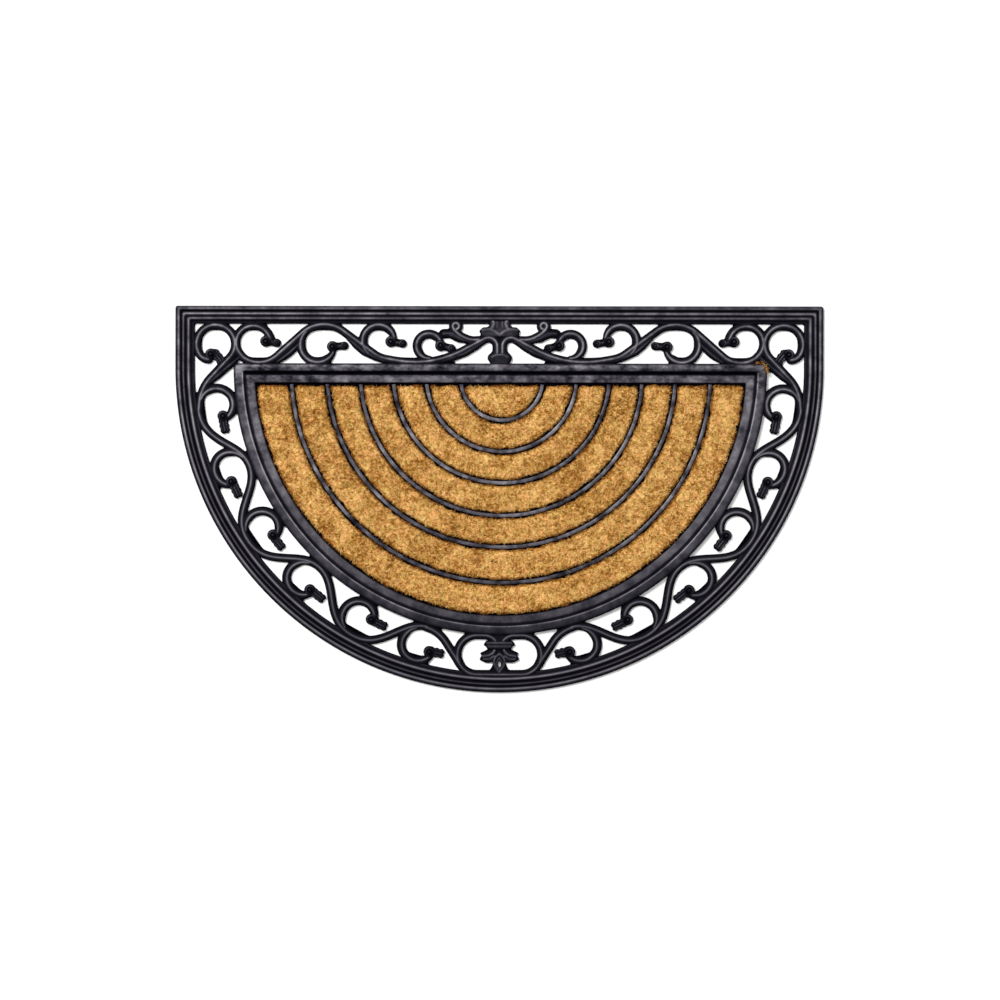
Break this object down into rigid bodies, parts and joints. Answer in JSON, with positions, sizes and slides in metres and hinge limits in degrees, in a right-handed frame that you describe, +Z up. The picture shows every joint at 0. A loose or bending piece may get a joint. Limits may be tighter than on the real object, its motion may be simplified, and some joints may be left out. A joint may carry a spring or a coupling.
{
  "type": "half-round coir and rubber doormat",
  "caption": "Half-round doormat: a black rubber grid with an openwork scroll border and half-ring ribs, filled with flat fields of golden coir pile.",
  "frame": {"origin": "middle of the mat's width and depth, at the floor", "axes": "+X along the straight edge, +Y towards the straight edge that lies against the door, +Z up"},
  "size_m": [0.75, 0.447, 0.0105],
  "materials": {
    "rubber": "matte moulded black rubber with a faint pale bloom on the raised ridges",
    "coir": "dry speckled golden-brown brush pile"
  },
  "bodies": {
    "root": {"rubber_moulding": "rubber", "coir_centre": "coir", "coir_band_1": "coir", "coir_band_2": "coir", "coir_band_3": "coir", "coir_band_4": "coir", "coir_band_5": "coir", "coir_band_6": "coir"}
  },
  "joints": []
}
